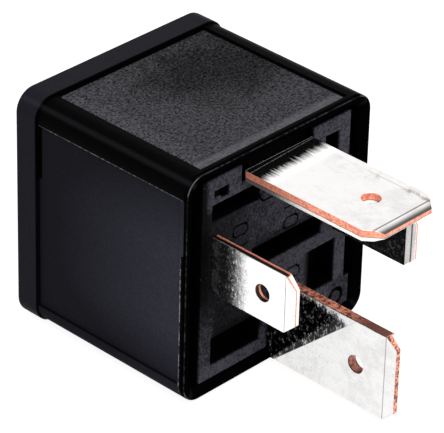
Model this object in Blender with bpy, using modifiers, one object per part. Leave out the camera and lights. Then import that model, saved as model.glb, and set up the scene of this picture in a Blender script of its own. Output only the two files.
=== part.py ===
"""Plug-in power relay with four blade terminals, lying on one side.

Metres, +Z up. The terminals point towards -Y and the closed end of the cover faces +Y.
"""
import math

import bmesh
import bpy
from mathutils import Matrix, Vector

MM = 0.001

# ---- driving sizes in millimetres; every y below is counted back from the rim ----
RIM_Y = -3.65            # where the rim plane lies in the part's frame
MID_Z = 13.15            # height of the relay's long axis above the side it lies on

BODY_HX = 13.05          # cover: half width and half height behind the rim
BODY_HZ = 12.9
BAND_HX = 13.25          # the band round its closed end
BAND_HZ = 13.15
BODY_LEN = 20.85
COVER_LEN = 23.85
CORNER_R = 2.1
WALL = 1.1
CAVITY_LEN = 22.3
RIM_ROUND = 0.25
MOUTH_FLARE = 0.5
PANEL_DEEP = 0.3         # the flat side panels lie this far below the rounded corners
PANEL_Y0 = 0.95
TOP_PANEL_HX = 10.4
SIDE_PANEL_HZ = 10.55

BASE_FRONT = 0.45        # base plate: its front, the front of its skirt, and its back
SKIRT_FRONT = 2.6
BASE_BACK = 3.6
BASE_HX = 10.5
BASE_Z0 = 1.61
BASE_Z1 = 24.57
SLIT_GAP = 0.05
POCKET_FLOOR = 3.0

LOAD_W = 9.5             # load blades
LOAD_T = 1.2
LOAD_TIP = -16.45
LOAD_HOLE_R = 1.0
COIL_W = 6.4             # coil blades
COIL_T = 0.8
COIL_TIP = -10.6
COIL_HOLE_R = 0.95
TOP_Z = 23.85            # upper face of the upper load blade
ARM_Y0 = 15.9            # its bent arm, which holds the fixed contact
ARM_Y1 = 17.1
LOW_X = -0.3             # middle plane of the lower load blade
LOW_Z = 0.67             # its lower edge
COIL_X = 8.7             # middle planes of the coil blades
COIL_Z = 14.9            # their middle height
SHOULDER_Y = 0.4         # where each blade narrows to its stem
STEM_HALF = 1.4          # half width of a coil blade's stem

CORE_Z = 11.5            # magnet system
CORE_R = 2.95
BOBBIN_HALF = 6.4
YOKE_HX = 6.0
YOKE_Z0 = 3.45
YOKE_Z1 = 4.95
YOKE_Y0 = 3.75
YOKE_Y1 = 5.25
YOKE_END = 18.2
POLE_Y = 18.15
RIVET_R = 0.7
RIVET_HOLE_R = 0.75
HEAD_R = 1.3
YOKE_RIVETS = {"front": 10.0, "rear": 13.5}

PLATE_Y = 18.25          # armature, measured with the contact closed
PLATE_T = 1.4
LEAF_T = 0.25
FIT = 0.05               # gap between pieces that touch
ARMATURE_RIVETS = {"low": 8.0, "high": 14.0}
CONTACT_Z = 20.9
HINGE_Y = 18.22
HINGE_Z = 3.45
OPEN_DEG = 3.1


# ---- scene, collections and materials ----
for old in list(bpy.data.objects):
    bpy.data.objects.remove(old, do_unlink=True)


def new_collection(name):
    collection = bpy.data.collections.new(name)
    bpy.context.scene.collection.children.link(collection)
    return collection


def new_material(name, color, metallic, roughness):
    mat = bpy.data.materials.new(name)
    mat.use_nodes = True
    shader = mat.node_tree.nodes["Principled BSDF"]
    shader.inputs["Base Color"].default_value = (*color, 1.0)
    shader.inputs["Metallic"].default_value = metallic
    shader.inputs["Roughness"].default_value = roughness
    mat.diffuse_color = (*color, 1.0)
    return mat


RELAY = new_collection("plug_in_relay")
CUTTERS = new_collection("cutters")
COVER_PLASTIC = new_material("cover_plastic", (0.030, 0.030, 0.034), 0.0, 0.45)
BASE_PLASTIC = new_material("base_plastic", (0.055, 0.055, 0.062), 0.0, 0.55)
BOBBIN_PLASTIC = new_material("bobbin_plastic", (0.72, 0.70, 0.62), 0.0, 0.5)
TINNED_COPPER = new_material("tinned_copper", (0.80, 0.80, 0.79), 1.0, 0.3)
COIL_WIRE = new_material("coil_wire", (0.62, 0.24, 0.10), 1.0, 0.35)
COIL_TAPE = new_material("coil_tape", (0.75, 0.55, 0.10), 0.0, 0.4)
IRON = new_material("iron", (0.60, 0.60, 0.58), 1.0, 0.35)
SPRING_BRONZE = new_material("spring_bronze", (0.72, 0.48, 0.26), 1.0, 0.3)
CONTACT_SILVER = new_material("contact_silver", (0.86, 0.85, 0.82), 1.0, 0.25)
RESISTOR_LACQUER = new_material("resistor_lacquer", (0.45, 0.62, 0.66), 0.0, 0.35)

# The hinge of the armature: what hangs on it is placed as if closed, and it is turned open.
HINGE = bpy.data.objects.new("armature_hinge", None)
RELAY.objects.link(HINGE)
HINGE.location = Vector((0.0, HINGE_Y + RIM_Y, HINGE_Z)) * MM
HINGE.rotation_euler.x = math.radians(-OPEN_DEG)


# ---- helpers ----
def place(x, y, z):
    """A point from millimetres, y counted back from the rim."""
    return Vector((x, y + RIM_Y, z)) * MM


def link(ob, mat):
    """Put a piece with the relay's parts, or without a material among the cutters."""
    if mat is None:
        CUTTERS.objects.link(ob)
        ob.hide_render = True
        ob.display_type = "WIRE"
    else:
        ob.data.materials.append(mat)
        RELAY.objects.link(ob)
    return ob


def mesh_object(name, bm, mat):
    bmesh.ops.recalc_face_normals(bm, faces=bm.faces)
    mesh = bpy.data.meshes.new(name)
    bm.to_mesh(mesh)
    bm.free()
    return link(bpy.data.objects.new(name, mesh), mat)


def cube(x0, x1, y0, y1, z0, z1):
    """A bmesh box about its own middle, and the place of that middle."""
    bm = bmesh.new()
    bmesh.ops.create_cube(bm, size=1.0)
    size = Vector((abs(x1 - x0), abs(y1 - y0), abs(z1 - z0))) * MM
    bmesh.ops.scale(bm, vec=size, verts=bm.verts)
    return bm, place((x0 + x1) / 2, (y0 + y1) / 2, (z0 + z1) / 2)


def box(name, x0, x1, y0, y1, z0, z1, mat=None):
    bm, middle = cube(x0, x1, y0, y1, z0, z1)
    ob = mesh_object(name, bm, mat)
    ob.location = middle
    return ob


def bevel_edges(bm, edges, width, segments):
    bmesh.ops.bevel(bm, geom=edges, offset=width * MM, segments=segments, profile=0.5, affect="EDGES")


def rounded_block(name, hx, hz, y0, y1, r, mat=None, front=0.0, back=0.0, segments=7):
    """A block about the relay's axis with rounded long edges, and rounded ends if asked."""
    bm, middle = cube(-hx, hx, y0, y1, MID_Z - hz, MID_Z + hz)
    half = (y1 - y0) / 2 * MM
    long_edges = [e for e in bm.edges if abs(e.verts[0].co.y - e.verts[1].co.y) > half]
    bevel_edges(bm, long_edges, r, segments)
    for width, end in ((front, -half), (back, half)):
        if width > 0:
            ring = [e for e in bm.edges if all(abs(v.co.y - end) < half * 0.01 for v in e.verts)]
            bevel_edges(bm, ring, width, 2)
    ob = mesh_object(name, bm, mat)
    ob.location = middle
    return ob


AXES = {"x": Vector((1, 0, 0)), "y": Vector((0, 1, 0)), "z": Vector((0, 0, 1))}


def turn_to(ob, axis):
    """Turn an object built round its own Z axis onto another axis."""
    ob.rotation_mode = "QUATERNION"
    ob.rotation_quaternion = AXES["z"].rotation_difference(AXES[axis])
    return ob


def cylinder(name, axis, centre, lo, hi, r, mat=None, segments=24):
    """A cylinder along an axis between two levels; centre holds the other two coordinates."""
    bm = bmesh.new()
    size = {"segments": segments, "radius1": r * MM, "radius2": r * MM, "depth": (hi - lo) * MM}
    bmesh.ops.create_cone(bm, cap_ends=True, **size)
    ob = mesh_object(name, bm, mat)
    spot = list(centre)
    spot.insert("xyz".index(axis), (lo + hi) / 2)
    ob.location = place(*spot)
    return turn_to(ob, axis)


def turned(name, axis, centre, profile, mat=None, segments=24, hollow=False):
    """Turn (radius, level) points round an axis; a solid's ends are closed on the axis."""
    points = list(profile)
    if not hollow:
        points = [(0.0, points[0][1])] + points + [(0.0, points[-1][1])]
    mesh = bpy.data.meshes.new(name)
    edges = [(i, i + 1) for i in range(len(points) - 1)]
    if hollow:
        edges.append((len(points) - 1, 0))
    mesh.from_pydata([(r * MM, 0.0, level * MM) for r, level in points], edges, [])
    ob = link(bpy.data.objects.new(name, mesh), mat)
    screw = ob.modifiers.new("turn", "SCREW")
    screw.steps = segments
    screw.render_steps = segments
    screw.use_merge_vertices = True
    screw.merge_threshold = 0.000001
    spot = list(centre)
    spot.insert("xyz".index(axis), 0.0)
    ob.location = place(*spot)
    if axis == "y":
        ob.location.y = RIM_Y * MM
    return turn_to(ob, axis)


def plate(name, outline, axis, lo, hi, mat=None):
    """A flat outline given thickness: (y, z) points along x, (x, z) along y, (x, y) along z."""
    curve = bpy.data.curves.new(name, "CURVE")
    curve.dimensions = "2D"
    curve.fill_mode = "BOTH"
    curve.extrude = (hi - lo) / 2 * MM
    spline = curve.splines.new("POLY")
    spline.points.add(len(outline) - 1)
    for point, (u, v) in zip(spline.points, outline):
        point.co = (u * MM, v * MM, 0.0, 1.0)
    spline.use_cyclic_u = True
    guide = bpy.data.objects.new(name + "_outline", curve)
    CUTTERS.objects.link(guide)
    bpy.context.view_layer.update()
    evaluated = guide.evaluated_get(bpy.context.evaluated_depsgraph_get())
    mesh = bpy.data.meshes.new_from_object(evaluated)
    mesh.name = name
    bpy.data.objects.remove(guide, do_unlink=True)
    bm = bmesh.new()
    bm.from_mesh(mesh)
    bmesh.ops.remove_doubles(bm, verts=bm.verts, dist=1e-7)
    bmesh.ops.recalc_face_normals(bm, faces=bm.faces)
    bm.to_mesh(mesh)
    bm.free()
    ob = link(bpy.data.objects.new(name, mesh), mat)
    middle = (lo + hi) / 2
    if axis == "x":
        ob.rotation_euler = Matrix(((0, 0, 1), (1, 0, 0), (0, 1, 0))).to_euler()
        ob.location = place(middle, 0.0, 0.0)
    elif axis == "y":
        ob.rotation_euler.x = math.radians(90)
        ob.location = place(0.0, middle, 0.0)
    else:
        ob.location = place(0.0, 0.0, middle)
    return ob


def wire(name, points, r, mat):
    curve = bpy.data.curves.new(name, "CURVE")
    curve.dimensions = "3D"
    curve.bevel_depth = r * MM
    curve.bevel_resolution = 1
    curve.use_fill_caps = True
    spline = curve.splines.new("POLY")
    spline.points.add(len(points) - 1)
    for point, spot in zip(spline.points, points):
        point.co = (*place(*spot), 1.0)
    return link(bpy.data.objects.new(name, curve), mat)


def combine(ob, other, operation):
    mod = ob.modifiers.new(other.name, "BOOLEAN")
    mod.operation = operation
    mod.object = other


def cut(ob, *cutters):
    for cutter in cutters:
        combine(ob, cutter, "DIFFERENCE")


def join(ob, *others):
    for other in others:
        combine(ob, other, "UNION")


def hang(ob):
    """Hang a piece, placed as if the contact were closed, on the armature's hinge."""
    ob.parent = HINGE
    ob.location -= HINGE.location
    return ob


# ---- cover ----
def mouth_cutter(hx, hz):
    """The cavity, flared at 45 degrees where it opens at the rim."""
    ob = rounded_block("cavity", hx, hz, MOUTH_FLARE, CAVITY_LEN, 1.0)
    bm = bmesh.new()
    bm.from_mesh(ob.data)
    front = min(bm.faces, key=lambda f: f.calc_center_median().y)
    grown = bmesh.ops.extrude_face_region(bm, geom=[front])["geom"]
    verts = [g for g in grown if isinstance(g, bmesh.types.BMVert)]
    bmesh.ops.delete(bm, geom=[front], context="FACES_ONLY")
    reach = 2 * MOUTH_FLARE
    bmesh.ops.translate(bm, vec=(0.0, -reach * MM, 0.0), verts=verts)
    bmesh.ops.scale(bm, vec=((hx + reach) / hx, 1.0, (hz + reach) / hz), verts=verts)
    bmesh.ops.recalc_face_normals(bm, faces=bm.faces)
    bm.to_mesh(ob.data)
    bm.free()
    return ob


def build_cover():
    under_band = BODY_LEN + 1.0
    cover = rounded_block("cover", BODY_HX, BODY_HZ, 0.0, under_band, CORNER_R, COVER_PLASTIC, RIM_ROUND)
    panel_x = BODY_HX - PANEL_DEEP
    panel_z = BODY_HZ - PANEL_DEEP
    deep = PANEL_DEEP + 1.0
    for side, word in ((-1, "left"), (1, "right")):
        inner, outer = side * panel_x, side * (panel_x + deep)
        low, high = MID_Z - SIDE_PANEL_HZ, MID_Z + SIDE_PANEL_HZ
        cut(cover, box("panel_" + word, inner, outer, PANEL_Y0, BODY_LEN + 2.0, low, high))
    for side, word in ((-1, "bottom"), (1, "top")):
        inner, outer = MID_Z + side * panel_z, MID_Z + side * (panel_z + deep)
        half = TOP_PANEL_HX
        cut(cover, box("panel_" + word, -half, half, PANEL_Y0, BODY_LEN + 2.0, inner, outer))
    band = rounded_block("band", BAND_HX, BAND_HZ, BODY_LEN, COVER_LEN, CORNER_R + 0.2, None, 0.06, 0.4)
    join(cover, band)
    cut(cover, mouth_cutter(BODY_HX - WALL, BODY_HZ - WALL))
    join(cover, box("stop_pad", -2.5, 2.5, 21.0, CAVITY_LEN + 0.2, 21.9, 23.2))


# ---- base ----
MARK_W = 1.25            # an engraved numeral's width, its height, and the pitch from one to the next
MARK_TALL = 2.0
MARK_STEP = 1.85
MARK_DEEP = 0.15
GLYPHS = {               # outlines in shares of the width and the height
    "0": ((0.2, 0.0), (0.8, 0.0), (1.0, 0.18), (1.0, 0.82), (0.8, 1.0), (0.2, 1.0), (0.0, 0.82), (0.0, 0.18)),
    "1": ((0.4, 0.0), (0.6, 0.0), (0.6, 1.0), (0.4, 1.0)),
    "2": ((0.0, 1.0), (1.0, 1.0), (1.0, 0.44), (0.2, 0.44), (0.2, 0.12), (1.0, 0.12),
          (1.0, 0.0), (0.0, 0.0), (0.0, 0.56), (0.8, 0.56), (0.8, 0.88), (0.0, 0.88)),
    "3": ((0.0, 1.0), (1.0, 1.0), (1.0, 0.0), (0.0, 0.0), (0.0, 0.12), (0.8, 0.12),
          (0.8, 0.44), (0.3, 0.44), (0.3, 0.56), (0.8, 0.56), (0.8, 0.88), (0.0, 0.88)),
}
ISLANDS = {
    "0": ((0.28, 0.11), (0.72, 0.11), (0.82, 0.24), (0.82, 0.76),
          (0.72, 0.89), (0.28, 0.89), (0.18, 0.76), (0.18, 0.24)),
}


def glyph_spots(outline, x, z):
    """A glyph's outline on the base: its top towards +X, its right side down."""
    return [(x + (up - 0.5) * MARK_TALL, z + (0.5 - across) * MARK_W) for across, up in outline]


def add_mark(base, text, x, z):
    """Engraved numerals that read downwards from z."""
    for n, char in enumerate(text):
        middle = z - n * MARK_STEP
        name = "mark_" + text + "_" + str(n)
        spots = glyph_spots(GLYPHS[char], x, middle)
        cut(base, plate(name, spots, "y", BASE_FRONT - 0.5, BASE_FRONT + MARK_DEEP))
        if char in ISLANDS:
            spots = glyph_spots(ISLANDS[char], x, middle)
            join(base, plate(name + "_island", spots, "y", BASE_FRONT + 0.01, BASE_FRONT + MARK_DEEP + 0.1))


def sloped_slot(open_y, low, high, lip):
    """Profile of a slot whose upper edge falls away in a curve from a lip above it."""
    floor = POCKET_FLOOR
    drop = lip - high
    slope = ((BASE_FRONT, lip), (0.65, high + drop * 0.6), (1.05, high + drop * 0.25), (1.8, high + 0.06))
    return ((open_y, low), (open_y, lip)) + slope + ((floor, high), (floor, low))


def build_base():
    """Plate with a wider skirt behind it, pockets in its front and a slit for each blade."""
    skirt_top = SKIRT_FRONT + 0.2
    base = box("base", -BASE_HX, BASE_HX, BASE_FRONT, skirt_top, BASE_Z0, BASE_Z1, BASE_PLASTIC)
    hx, hz = BODY_HX - WALL - FIT, BODY_HZ - WALL - FIT
    join(base, rounded_block("skirt", hx, hz, SKIRT_FRONT, BASE_BACK, 0.95, segments=3))
    tab_front, tab_low = BASE_FRONT + 0.02, BASE_Z0 + 0.09
    join(base, box("gate_tab", BASE_HX - 0.5, BASE_HX + 0.8, tab_front, skirt_top, tab_low, 4.95))
    open_y = BASE_FRONT - 0.5
    floor = POCKET_FLOOR
    cut(base, box("slot_high", -9.15, -2.4, open_y, floor, 19.65, 21.65))
    cut(base, plate("slot_middle", sloped_slot(open_y, 11.75, 13.55, 14.45), "x", -3.4, 6.8))
    cut(base, plate("slot_low", sloped_slot(open_y, 2.95, 5.3, 6.6), "x", -8.95, -1.8))
    cut(base, box("pocket_right", 6.9, 9.0, open_y, floor, 19.65, 22.95))
    cut(base, box("pocket_left", -7.9, -6.8, open_y, 1.7, 21.95, 23.2))
    cut(base, box("pocket_left_ledge", -8.9, -7.88, open_y, 0.8, 22.3, 23.2))
    ramp = ((3.9, open_y), (9.0, open_y), (9.0, floor), (6.8, floor), (6.5, 1.8), (5.8, 1.05), (4.9, 0.62))
    cut(base, plate("ramp_pocket", ramp + ((3.9, BASE_FRONT),), "z", 5.15, 10.35))
    ring = sleeve(0.62, 1.15, open_y, BASE_FRONT + 0.5)
    cut(base, turned("gate_ring", "y", (9.5, 3.0), ring, hollow=True))
    cut(base, box("blade_recess", -5.15, 5.15, open_y, 1.4, TOP_Z - LOAD_T - 0.1, BASE_Z1 - 0.5))
    add_mark(base, "01", -5.1, 17.2)
    add_mark(base, "20", -1.3, 21.7)
    add_mark(base, "10", 2.2, 17.0)
    add_mark(base, "03", 2.7, 8.9)
    y0, y1 = open_y, BASE_BACK + 0.5
    gap = SLIT_GAP
    top_lo, top_hi = TOP_Z - LOAD_T - gap, TOP_Z + gap
    cut(base, box("slit_load_top", -3.0 - gap, 3.0 + gap, y0, y1, top_lo, top_hi))
    half = LOAD_T / 2 + gap
    cut(base, box("slit_load_bottom", LOW_X - half, LOW_X + half, y0, y1, 1.9 - gap, 9.4 + gap))
    half = COIL_T / 2 + gap
    low, high = COIL_Z - STEM_HALF - gap, COIL_Z + STEM_HALF + gap
    for side, word in ((-1, "left"), (1, "right")):
        middle = side * COIL_X
        cut(base, box("slit_coil_" + word, middle - half, middle + half, y0, y1, low, high))


# ---- terminals ----
def coin_tip(blade, axis, middle, thickness, lo, hi, tip):
    """Bevel both faces of a blade, across its width along an axis, to a thinner edge at its tip."""
    for side in (-1, 1):
        edge = middle + side * thickness * 0.22
        face = middle + side * (thickness / 2 + 0.02)
        far = middle + side * (thickness / 2 + 0.5)
        wedge = [(tip - 0.5, edge), (tip, edge), (tip + 0.85, face), (tip + 0.85, far), (tip - 0.5, far)]
        if axis == "z":
            wedge = [(across, y) for y, across in wedge]
        name = blade.name + ("_bevel_low" if side < 0 else "_bevel_high")
        cut(blade, plate(name, wedge, axis, lo - 1.0, hi + 1.0))


def build_terminal_load_top():
    """A blade in the XY plane whose stem runs back and bends down behind the coil."""
    half = LOAD_W / 2
    tip = LOAD_TIP
    right = [(half, SHOULDER_Y), (half, tip + 1.7), (half - 1.4, tip)]
    right = [(3.0, ARM_Y1 - 0.05), (3.0, SHOULDER_Y)] + right
    outline = right + [(-x, y) for x, y in reversed(right)]
    bottom = TOP_Z - LOAD_T
    blade = plate("terminal_load_top", outline, "z", bottom, TOP_Z, TINNED_COPPER)
    join(blade, box("contact_arm", -2.6, 2.6, ARM_Y0, ARM_Y1, 19.1, TOP_Z - 0.04))
    cut(blade, cylinder("load_top_hole", "z", (0.2, -11.5), bottom - 1, TOP_Z + 1, LOAD_HOLE_R))
    spot = (0.0, CONTACT_Z)
    cut(blade, cylinder("fixed_contact_hole", "y", spot, ARM_Y0 - 1, ARM_Y1 + 1, 0.85))
    coin_tip(blade, "x", TOP_Z - LOAD_T / 2, LOAD_T, -half, half, tip)


def build_terminal_load_bottom():
    """An upright blade whose stem ends in a tenon staked into the yoke."""
    z0, z1 = LOW_Z, LOW_Z + LOAD_W
    tip = LOAD_TIP - 0.1
    outline = [(tip + 1.1, z0), (tip, z0 + 1.05), (tip, z1 - 1.05), (tip + 1.1, z1)]
    outline += [(SHOULDER_Y, z1), (SHOULDER_Y, 9.4), (3.7, 9.4), (3.7, 8.15), (5.2, 8.15)]
    outline += [(5.2, 5.45), (3.7, 5.45), (3.7, 1.9), (SHOULDER_Y, 1.9), (SHOULDER_Y, 1.66)]
    outline += [(-0.03, 1.66), (-0.03, z0)]
    lo, hi = LOW_X - LOAD_T / 2, LOW_X + LOAD_T / 2
    blade = plate("terminal_load_bottom", outline, "x", lo, hi, TINNED_COPPER)
    cut(blade, cylinder("load_bottom_hole", "x", (-11.55, 5.3), lo - 1, hi + 1, LOAD_HOLE_R))
    coin_tip(blade, "z", LOW_X, LOAD_T, z0, z1, tip)


def build_terminal_coil(side, word):
    z0, z1 = COIL_Z - COIL_W / 2, COIL_Z + COIL_W / 2
    tip = COIL_TIP
    outline = [(tip + 1.3, z0), (tip, z0 + 1.2), (tip, z1 - 1.2), (tip + 1.3, z1)]
    outline += [(SHOULDER_Y, z1), (SHOULDER_Y, COIL_Z + STEM_HALF), (7.0, COIL_Z + STEM_HALF)]
    outline += [(7.0, COIL_Z - STEM_HALF), (SHOULDER_Y, COIL_Z - STEM_HALF), (SHOULDER_Y, z0)]
    lo, hi = side * COIL_X - COIL_T / 2, side * COIL_X + COIL_T / 2
    blade = plate("terminal_coil_" + word, outline, "x", lo, hi, TINNED_COPPER)
    name = "coil_hole_" + word
    cut(blade, cylinder(name, "x", (-6.35, COIL_Z - 0.05), lo - 1, hi + 1, COIL_HOLE_R))
    coin_tip(blade, "z", side * COIL_X, COIL_T, z0, z1, tip)


# ---- magnet system ----
def build_bobbin():
    """Two square cheeks on a tube, bored for the core."""
    spot = (0.0, CORE_Z)
    half = BOBBIN_HALF
    bobbin = cylinder("bobbin", "y", spot, 5.5, 16.6, 3.75, BOBBIN_PLASTIC, 32)
    for word, y0 in (("front", 5.35), ("rear", 16.0)):
        join(bobbin, box("cheek_" + word, -half, half, y0, y0 + 0.8, CORE_Z - half, CORE_Z + half))
    cut(bobbin, cylinder("bobbin_bore", "y", spot, 4.0, 18.0, CORE_R + 0.08, segments=32))


def build_winding():
    spot = (0.0, CORE_Z)
    turned("coil_winding", "y", spot, sleeve(3.82, 6.0, 6.2, 15.95), COIL_WIRE, 32, True)
    turned("coil_tape", "y", spot, sleeve(6.06, 6.2, 6.35, 15.8), COIL_TAPE, 32, True)


def sleeve(inner, outer, lo, hi):
    """Closed profile of a hollow sleeve."""
    return ((outer, hi), (outer, lo), (inner, lo), (inner, hi))


def build_core():
    """Iron core: a staked tail in the yoke, a shank in the bobbin and a wide pole face."""
    steps = [(4.05, POLE_Y), (4.2, POLE_Y - 0.15), (4.2, 16.87), (CORE_R, 16.87), (CORE_R, 5.3)]
    steps += [(2.42, 5.3), (2.42, 3.95), (2.2, 3.75)]
    turned("core", "y", (0.0, CORE_Z), steps, IRON, 32)


def rivet_hole(name, axis, centre, level):
    return cylinder(name, axis, centre, level - 2.0, level + 2.0, RIVET_HOLE_R, segments=16)


def build_yoke():
    outline = ((YOKE_Y0 + 0.8, YOKE_Z0), (YOKE_END, YOKE_Z0), (YOKE_END, YOKE_Z1), (YOKE_Y1, YOKE_Z1))
    outline += ((YOKE_Y1, 16.5), (YOKE_Y0, 16.5), (YOKE_Y0, YOKE_Z0 + 0.8))
    yoke = plate("yoke", outline, "x", -YOKE_HX, YOKE_HX, IRON)
    cut(yoke, cylinder("core_hole", "y", (0.0, CORE_Z), 3.0, 6.0, 2.5, segments=32))
    half = LOAD_T / 2 + FIT
    cut(yoke, box("tenon_slot", LOW_X - half, LOW_X + half, 3.0, 6.0, 5.4, 8.2))
    for word, y in YOKE_RIVETS.items():
        cut(yoke, rivet_hole("yoke_hole_" + word, "z", (0.0, y), YOKE_Z0))


def build_return_leaf():
    """Bent leaf riveted under the yoke, its free arm behind the armature's heel."""
    z1 = YOKE_Z0 - FIT
    z0 = z1 - LEAF_T
    y1 = 20.08
    y0 = y1 - LEAF_T
    outline = ((8.2, z0), (y1 - 0.3, z0), (y1, z0 + 0.3), (y1, 5.7), (y0, 5.7), (y0, z1), (8.2, z1))
    leaf = plate("return_leaf", outline, "x", -3.2, 3.2, SPRING_BRONZE)
    for word, y in YOKE_RIVETS.items():
        cut(leaf, rivet_hole("leaf_hole_" + word, "z", (0.0, y), z0))
        under = z0 - FIT
        steps = [(RIVET_R, 4.9), (RIVET_R, under), (HEAD_R, under)]
        steps += [(HEAD_R, under - 0.3), (0.9, under - 0.55)]
        turned("yoke_rivet_" + word, "z", (0.0, y), steps, IRON, 20)


# ---- armature, with what turns on it, and the fixed contact it meets ----
def build_armature():
    back = PLATE_Y + PLATE_T
    armature = hang(box("armature", -5.5, 5.5, PLATE_Y, back, 3.5, 17.5, IRON))
    leaf0 = back + FIT
    leaf1 = leaf0 + LEAF_T
    right = [(3.0, 6.3), (3.0, 17.0), (2.0, 18.2), (2.0, 21.5), (1.2, 22.3)]
    outline = right + [(-x, z) for x, z in reversed(right)]
    spring = hang(plate("contact_spring", outline, "y", leaf0, leaf1, SPRING_BRONZE))
    behind = leaf1 + FIT
    for word, z in ARMATURE_RIVETS.items():
        hole = hang(rivet_hole("armature_hole_" + word, "y", (0.0, z), back))
        cut(armature, hole)
        cut(spring, hole)
        steps = [(0.9, behind + 0.55), (HEAD_R, behind + 0.3), (HEAD_R, behind), (RIVET_R, behind)]
        steps.append((RIVET_R, PLATE_Y + 0.05))
        hang(turned("armature_rivet_" + word, "y", (0.0, z), steps, IRON, 20))
    spot = (0.0, CONTACT_Z)
    cut(spring, hang(cylinder("moving_contact_hole", "y", spot, back - 1, back + 1, 0.85, segments=16)))
    front = PLATE_Y + 0.15
    steps = [(1.0, behind + 0.3), (1.15, behind), (0.8, behind), (0.8, back)]
    steps += [(1.5, back), (1.5, front + 0.2), (1.2, front)]
    hang(turned("moving_contact", "y", spot, steps, CONTACT_SILVER))


def build_fixed_contact():
    meet = PLATE_Y + 0.15 - FIT
    steps = [(1.3, meet), (1.6, meet - 0.2), (1.6, ARM_Y1 + FIT), (0.8, ARM_Y1 + FIT)]
    steps += [(0.8, ARM_Y0 - FIT), (1.25, ARM_Y0 - FIT), (1.1, ARM_Y0 - 0.4)]
    turned("fixed_contact", "y", (0.0, CONTACT_Z), steps, CONTACT_SILVER)


# ---- resistor across the coil, and the coil's own ends ----
def build_resistor():
    y, z = 6.3, 20.3
    half = [(0.95, 1.7), (1.1, 1.9), (1.1, 2.9), (0.8, 3.1)]
    profile = list(reversed(half)) + [(r, -x) for r, x in half]
    turned("resistor_body", "x", (y, z), profile, RESISTOR_LACQUER, 20)
    for side, word in ((-1, "left"), (1, "right")):
        path = [(3.15, z), (7.6, z), (8.35, z - 0.3), (8.7, z - 1.0), (8.7, COIL_Z + STEM_HALF + FIT)]
        wire("resistor_lead_" + word, [(side * px, y, pz) for px, pz in path], 0.28, TINNED_COPPER)


def build_coil_wires():
    path = [(6.4, 6.6, 12.6), (6.9, 6.7, 12.7), (7.7, 6.75, 13.4), (8.12, 6.75, 14.2), (8.12, 6.75, 15.4)]
    for side, word in ((-1, "left"), (1, "right")):
        wire("coil_wire_" + word, [(side * px, py, pz) for px, py, pz in path], 0.12, COIL_WIRE)


build_cover()
build_base()
build_terminal_load_top()
build_terminal_load_bottom()
build_terminal_coil(-1, "left")
build_terminal_coil(1, "right")
build_bobbin()
build_winding()
build_core()
build_yoke()
build_return_leaf()
build_armature()
build_fixed_contact()
build_resistor()
build_coil_wires()
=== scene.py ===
"""A plug-in power relay lying on a side: black moulded cover, grey-black base, tinned copper blades."""
import math

import bmesh
import bpy
from mathutils import Matrix, Quaternion, Vector


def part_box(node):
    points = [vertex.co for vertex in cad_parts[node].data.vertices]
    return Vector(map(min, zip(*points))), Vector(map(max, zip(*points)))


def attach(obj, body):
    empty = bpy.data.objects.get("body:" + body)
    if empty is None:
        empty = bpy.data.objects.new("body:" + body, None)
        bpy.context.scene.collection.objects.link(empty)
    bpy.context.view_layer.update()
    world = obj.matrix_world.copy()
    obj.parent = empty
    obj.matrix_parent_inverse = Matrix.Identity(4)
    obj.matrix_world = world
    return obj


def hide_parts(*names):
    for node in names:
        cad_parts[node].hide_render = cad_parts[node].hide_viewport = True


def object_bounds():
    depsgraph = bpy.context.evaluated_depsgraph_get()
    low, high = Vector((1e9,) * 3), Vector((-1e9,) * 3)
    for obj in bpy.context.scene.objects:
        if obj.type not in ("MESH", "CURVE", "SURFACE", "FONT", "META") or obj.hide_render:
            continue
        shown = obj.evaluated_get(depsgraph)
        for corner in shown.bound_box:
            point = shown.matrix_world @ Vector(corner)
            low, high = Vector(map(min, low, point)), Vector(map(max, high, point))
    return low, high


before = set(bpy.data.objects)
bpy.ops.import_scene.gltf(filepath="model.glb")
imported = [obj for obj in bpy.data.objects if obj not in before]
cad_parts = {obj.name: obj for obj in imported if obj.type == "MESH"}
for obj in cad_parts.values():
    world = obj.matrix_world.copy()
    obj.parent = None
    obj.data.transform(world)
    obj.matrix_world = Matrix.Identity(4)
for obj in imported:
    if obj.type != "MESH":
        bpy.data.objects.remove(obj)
CAD_LOW, CAD_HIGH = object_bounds()

MM = 0.001
COVER_LOW, COVER_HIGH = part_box("cover")
RIM_Y = COVER_LOW.y / MM                     # the rim plane; every y below is counted back from it
MID_Z = (COVER_LOW.z + COVER_HIGH.z) / 2 / MM
COVER_LEN = (COVER_HIGH.y - COVER_LOW.y) / MM
BAND_HX = COVER_HIGH.x / MM                  # half sizes of the band at the closed end
BAND_HZ = COVER_HIGH.z / MM - MID_Z

BODY_HX = BAND_HX - 0.2                      # the cover in front of its band
BODY_HZ = BAND_HZ - 0.25
BODY_LEN = COVER_LEN - 3.0
CORNER_R = 2.1
WALL = 1.1
CAVITY_LEN = COVER_LEN - 1.55
PANEL_DEEP = 0.3
PANEL_Y0 = 0.95
PANEL_STEP = 0.12                            # width of the rounded step down into a panel
TOP_PANEL_HX = 10.4
SIDE_PANEL_HZ = 10.55
SINK = 0.05                                  # how far a panel's middle has sunk in moulding

BASE_FRONT = 0.45
BASE_HX = 10.5
BASE_Z0 = 1.61
BASE_Z1 = 24.57
SKIRT_FRONT = 2.6
POCKET_FLOOR = 3.0
SLOT_MIDDLE = (-3.4, 6.8, 11.75, 13.55, 14.45)   # x from and to, then z of its lower edge, upper edge and lip
SLOT_LOW = (-8.95, -1.8, 2.95, 5.3, 6.6)
RAMP_X = (3.9, 6.8, 9.0)                     # where the ramped pocket starts, reaches its floor and ends
RAMP_Z = (5.15, 10.35)
RING_AT = (9.5, 3.0)                         # x and z of the moulding ring
RING_R = (0.62, 1.15)

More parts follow.
